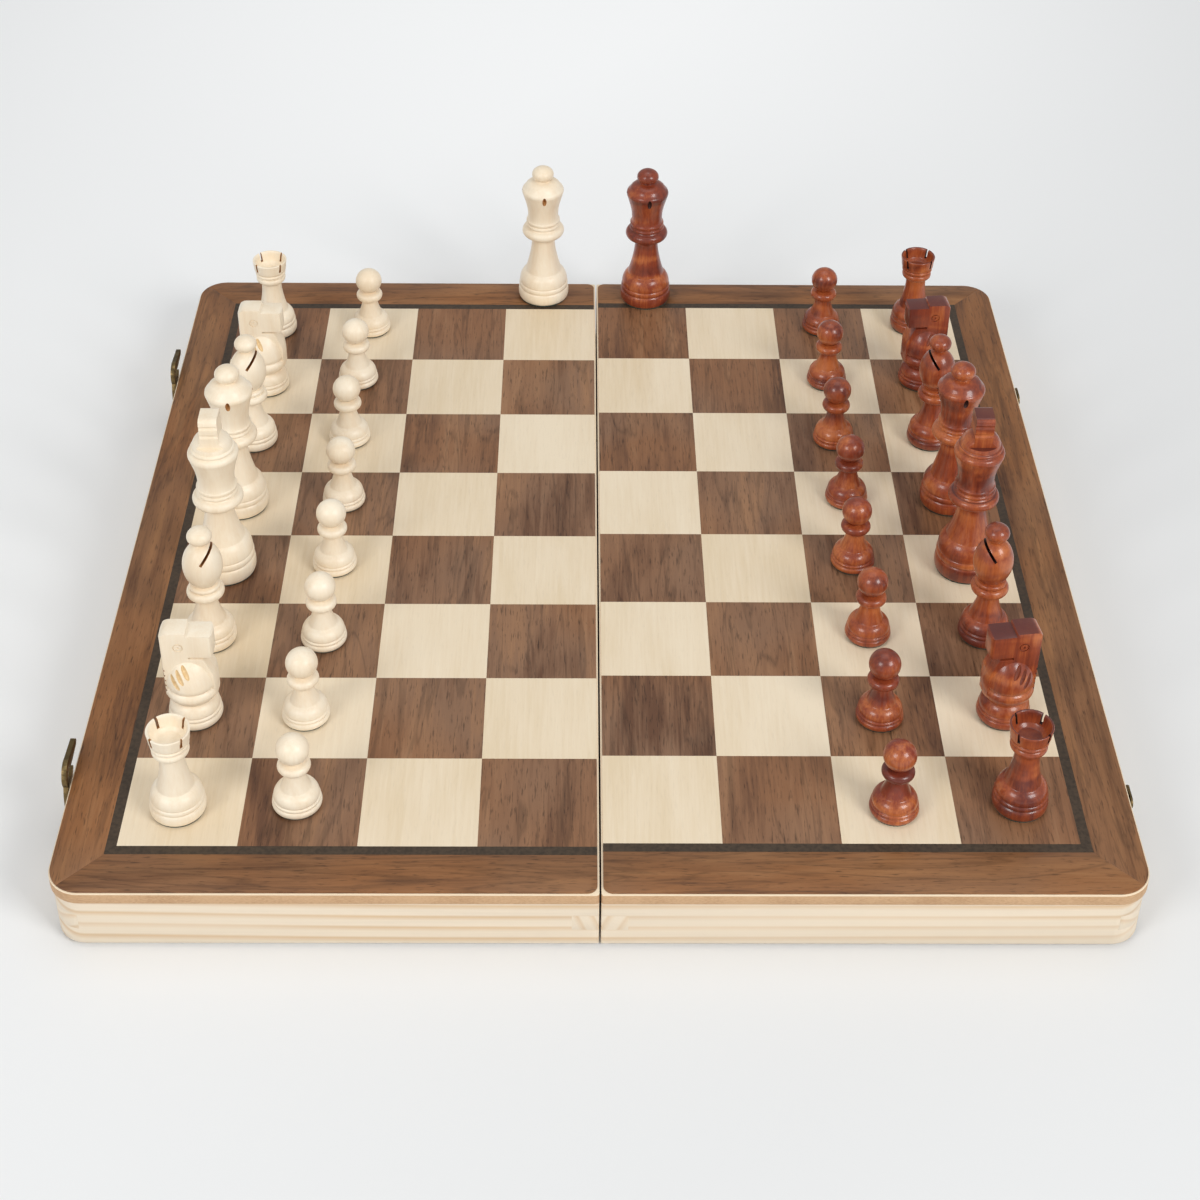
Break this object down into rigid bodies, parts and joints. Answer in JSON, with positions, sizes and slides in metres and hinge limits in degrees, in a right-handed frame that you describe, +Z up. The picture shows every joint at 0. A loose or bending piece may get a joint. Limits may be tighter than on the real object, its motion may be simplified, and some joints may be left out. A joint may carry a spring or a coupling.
{
  "type": "folding chess set",
  "caption": "Folding wooden chess box opened flat as a board, with both armies standing on it; the halves fold on hinges, hook latches swing, and every piece lifts off.",
  "frame": {"origin": "middle of the whole set at the bottom of the hinge knuckles, on the fold line", "axes": "+X from the light army's half to the dark army's half, +Y from the near edge to the far edge, +Z up"},
  "size_m": [0.3902, 0.3829, 0.1064],
  "materials": {
    "panel_core": "satin",
    "walnut_veneer": "satin",
    "maple_veneer": "satin",
    "dyed_line": "satin",
    "pine": "matte",
    "foam": "matte",
    "brass_hardware": "satin",
    "antique_bronze": "satin",
    "cream_wood": "satin",
    "red_wood": "gloss"
  },
  "bodies": {
    "left_half": {"left_panel": "panel_core", "left_dark_squares": "walnut_veneer", "left_light_squares": "maple_veneer", "left_line": "dyed_line", "left_border": "walnut_veneer", "left_end_rails": "pine", "left_side_rails": "pine", "left_foam_tray": "foam", "left_hinge_leaves": "brass_hardware", "hinge_pins": "brass_hardware", "left_fasteners": "brass_hardware", "latch_plates": "antique_bronze"},
    "right_half": {"right_panel": "panel_core", "right_dark_squares": "walnut_veneer", "right_light_squares": "maple_veneer", "right_line": "dyed_line", "right_border": "walnut_veneer", "right_end_rails": "pine", "right_side_rails": "pine", "right_foam_tray": "foam", "right_hinge_leaves": "brass_hardware", "right_fasteners": "brass_hardware", "catch_plates": "antique_bronze"},
    "near_hook": {"near_hook": "antique_bronze"},
    "far_hook": {"far_hook": "antique_bronze"},
    "light_rook_near": {"light_rook_near": "cream_wood"},
    "light_knight_near": {"light_knight_near": "cream_wood"},
    "light_bishop_near": {"light_bishop_near": "cream_wood"},
    "light_king": {"light_king": "cream_wood"},
    "light_queen": {"light_queen": "cream_wood"},
    "light_bishop_far": {"light_bishop_far": "cream_wood"},
    "light_knight_far": {"light_knight_far": "cream_wood"},
    "light_rook_far": {"light_rook_far": "cream_wood"},
    "light_pawn_1": {"light_pawn_1": "cream_wood"},
    "light_pawn_2": {"light_pawn_2": "cream_wood"},
    "light_pawn_3": {"light_pawn_3": "cream_wood"},
    "light_pawn_4": {"light_pawn_4": "cream_wood"},
    "light_pawn_5": {"light_pawn_5": "cream_wood"},
    "light_pawn_6": {"light_pawn_6": "cream_wood"},
    "light_pawn_7": {"light_pawn_7": "cream_wood"},
    "light_pawn_8": {"light_pawn_8": "cream_wood"},
    "light_spare_queen": {"light_spare_queen": "cream_wood"},
    "dark_rook_near": {"dark_rook_near": "red_wood"},
    "dark_knight_near": {"dark_knight_near": "red_wood"},
    "dark_bishop_near": {"dark_bishop_near": "red_wood"},
    "dark_king": {"dark_king": "red_wood"},
    "dark_queen": {"dark_queen": "red_wood"},
    "dark_bishop_far": {"dark_bishop_far": "red_wood"},
    "dark_knight_far": {"dark_knight_far": "red_wood"},
    "dark_rook_far": {"dark_rook_far": "red_wood"},
    "dark_pawn_1": {"dark_pawn_1": "red_wood"},
    "dark_pawn_2": {"dark_pawn_2": "red_wood"},
    "dark_pawn_3": {"dark_pawn_3": "red_wood"},
    "dark_pawn_4": {"dark_pawn_4": "red_wood"},
    "dark_pawn_5": {"dark_pawn_5": "red_wood"},
    "dark_pawn_6": {"dark_pawn_6": "red_wood"},
    "dark_pawn_7": {"dark_pawn_7": "red_wood"},
    "dark_pawn_8": {"dark_pawn_8": "red_wood"},
    "dark_spare_queen": {"dark_spare_queen": "red_wood"}
  },
  "joints": [
    {"name": "board_fold", "type": "hinge", "parent": "left_half", "child": "right_half", "pos_m": [0, 0, 0.0015], "axis": [0, 1, 0], "range_deg": [0, 180]},
    {"name": "hook_swing_near", "type": "hinge", "parent": "left_half", "child": "near_hook", "pos_m": [-0.1931, -0.1355, 0.0072], "axis": [1, 0, 0], "range_deg": [-180, 90]},
    {"name": "hook_swing_far", "type": "hinge", "parent": "left_half", "child": "far_hook", "pos_m": [-0.1931, 0.1125, 0.0072], "axis": [1, 0, 0], "range_deg": [-180, 90]},
    {"name": "lift_light_rook_near", "type": "slide", "parent": "left_half", "child": "light_rook_near", "axis": [0, 0, 1], "range_m": [0, 0.1]},
    {"name": "lift_light_knight_near", "type": "slide", "parent": "left_half", "child": "light_knight_near", "axis": [0, 0, 1], "range_m": [0, 0.1]},
    {"name": "lift_light_bishop_near", "type": "slide", "parent": "left_half", "child": "light_bishop_near", "axis": [0, 0, 1], "range_m": [0, 0.1]},
    {"name": "lift_light_king", "type": "slide", "parent": "left_half", "child": "light_king", "axis": [0, 0, 1], "range_m": [0, 0.1]},
    {"name": "lift_light_queen", "type": "slide", "parent": "left_half", "child": "light_queen", "axis": [0, 0, 1], "range_m": [0, 0.1]},
    {"name": "lift_light_bishop_far", "type": "slide", "parent": "left_half", "child": "light_bishop_far", "axis": [0, 0, 1], "range_m": [0, 0.1]},
    {"name": "lift_light_knight_far", "type": "slide", "parent": "left_half", "child": "light_knight_far", "axis": [0, 0, 1], "range_m": [0, 0.1]},
    {"name": "lift_light_rook_far", "type": "slide", "parent": "left_half", "child": "light_rook_far", "axis": [0, 0, 1], "range_m": [0, 0.1]},
    {"name": "lift_light_pawn_1", "type": "slide", "parent": "left_half", "child": "light_pawn_1", "axis": [0, 0, 1], "range_m": [0, 0.1]},
    {"name": "lift_light_pawn_2", "type": "slide", "parent": "left_half", "child": "light_pawn_2", "axis": [0, 0, 1], "range_m": [0, 0.1]},
    {"name": "lift_light_pawn_3", "type": "slide", "parent": "left_half", "child": "light_pawn_3", "axis": [0, 0, 1], "range_m": [0, 0.1]},
    {"name": "lift_light_pawn_4", "type": "slide", "parent": "left_half", "child": "light_pawn_4", "axis": [0, 0, 1], "range_m": [0, 0.1]},
    {"name": "lift_light_pawn_5", "type": "slide", "parent": "left_half", "child": "light_pawn_5", "axis": [0, 0, 1], "range_m": [0, 0.1]},
    {"name": "lift_light_pawn_6", "type": "slide", "parent": "left_half", "child": "light_pawn_6", "axis": [0, 0, 1], "range_m": [0, 0.1]},
    {"name": "lift_light_pawn_7", "type": "slide", "parent": "left_half", "child": "light_pawn_7", "axis": [0, 0, 1], "range_m": [0, 0.1]},
    {"name": "lift_light_pawn_8", "type": "slide", "parent": "left_half", "child": "light_pawn_8", "axis": [0, 0, 1], "range_m": [0, 0.1]},
    {"name": "lift_light_spare_queen", "type": "slide", "parent": "left_half", "child": "light_spare_queen", "axis": [0, 0, 1], "range_m": [0, 0.1]},
    {"name": "lift_dark_rook_near", "type": "slide", "parent": "right_half", "child": "dark_rook_near", "axis": [0, 0, 1], "range_m": [0, 0.1]},
    {"name": "lift_dark_knight_near", "type": "slide", "parent": "right_half", "child": "dark_knight_near", "axis": [0, 0, 1], "range_m": [0, 0.1]},
    {"name": "lift_dark_bishop_near", "type": "slide", "parent": "right_half", "child": "dark_bishop_near", "axis": [0, 0, 1], "range_m": [0, 0.1]},
    {"name": "lift_dark_king", "type": "slide", "parent": "right_half", "child": "dark_king", "axis": [0, 0, 1], "range_m": [0, 0.1]},
    {"name": "lift_dark_queen", "type": "slide", "parent": "right_half", "child": "dark_queen", "axis": [0, 0, 1], "range_m": [0, 0.1]},
    {"name": "lift_dark_bishop_far", "type": "slide", "parent": "right_half", "child": "dark_bishop_far", "axis": [0, 0, 1], "range_m": [0, 0.1]},
    {"name": "lift_dark_knight_far", "type": "slide", "parent": "right_half", "child": "dark_knight_far", "axis": [0, 0, 1], "range_m": [0, 0.1]},
    {"name": "lift_dark_rook_far", "type": "slide", "parent": "right_half", "child": "dark_rook_far", "axis": [0, 0, 1], "range_m": [0, 0.1]},
    {"name": "lift_dark_pawn_1", "type": "slide", "parent": "right_half", "child": "dark_pawn_1", "axis": [0, 0, 1], "range_m": [0, 0.1]},
    {"name": "lift_dark_pawn_2", "type": "slide", "parent": "right_half", "child": "dark_pawn_2", "axis": [0, 0, 1], "range_m": [0, 0.1]},
    {"name": "lift_dark_pawn_3", "type": "slide", "parent": "right_half", "child": "dark_pawn_3", "axis": [0, 0, 1], "range_m": [0, 0.1]},
    {"name": "lift_dark_pawn_4", "type": "slide", "parent": "right_half", "child": "dark_pawn_4", "axis": [0, 0, 1], "range_m": [0, 0.1]},
    {"name": "lift_dark_pawn_5", "type": "slide", "parent": "right_half", "child": "dark_pawn_5", "axis": [0, 0, 1], "range_m": [0, 0.1]},
    {"name": "lift_dark_pawn_6", "type": "slide", "parent": "right_half", "child": "dark_pawn_6", "axis": [0, 0, 1], "range_m": [0, 0.1]},
    {"name": "lift_dark_pawn_7", "type": "slide", "parent": "right_half", "child": "dark_pawn_7", "axis": [0, 0, 1], "range_m": [0, 0.1]},
    {"name": "lift_dark_pawn_8", "type": "slide", "parent": "right_half", "child": "dark_pawn_8", "axis": [0, 0, 1], "range_m": [0, 0.1]},
    {"name": "lift_dark_spare_queen", "type": "slide", "parent": "right_half", "child": "dark_spare_queen", "axis": [0, 0, 1], "range_m": [0, 0.1]}
  ]
}
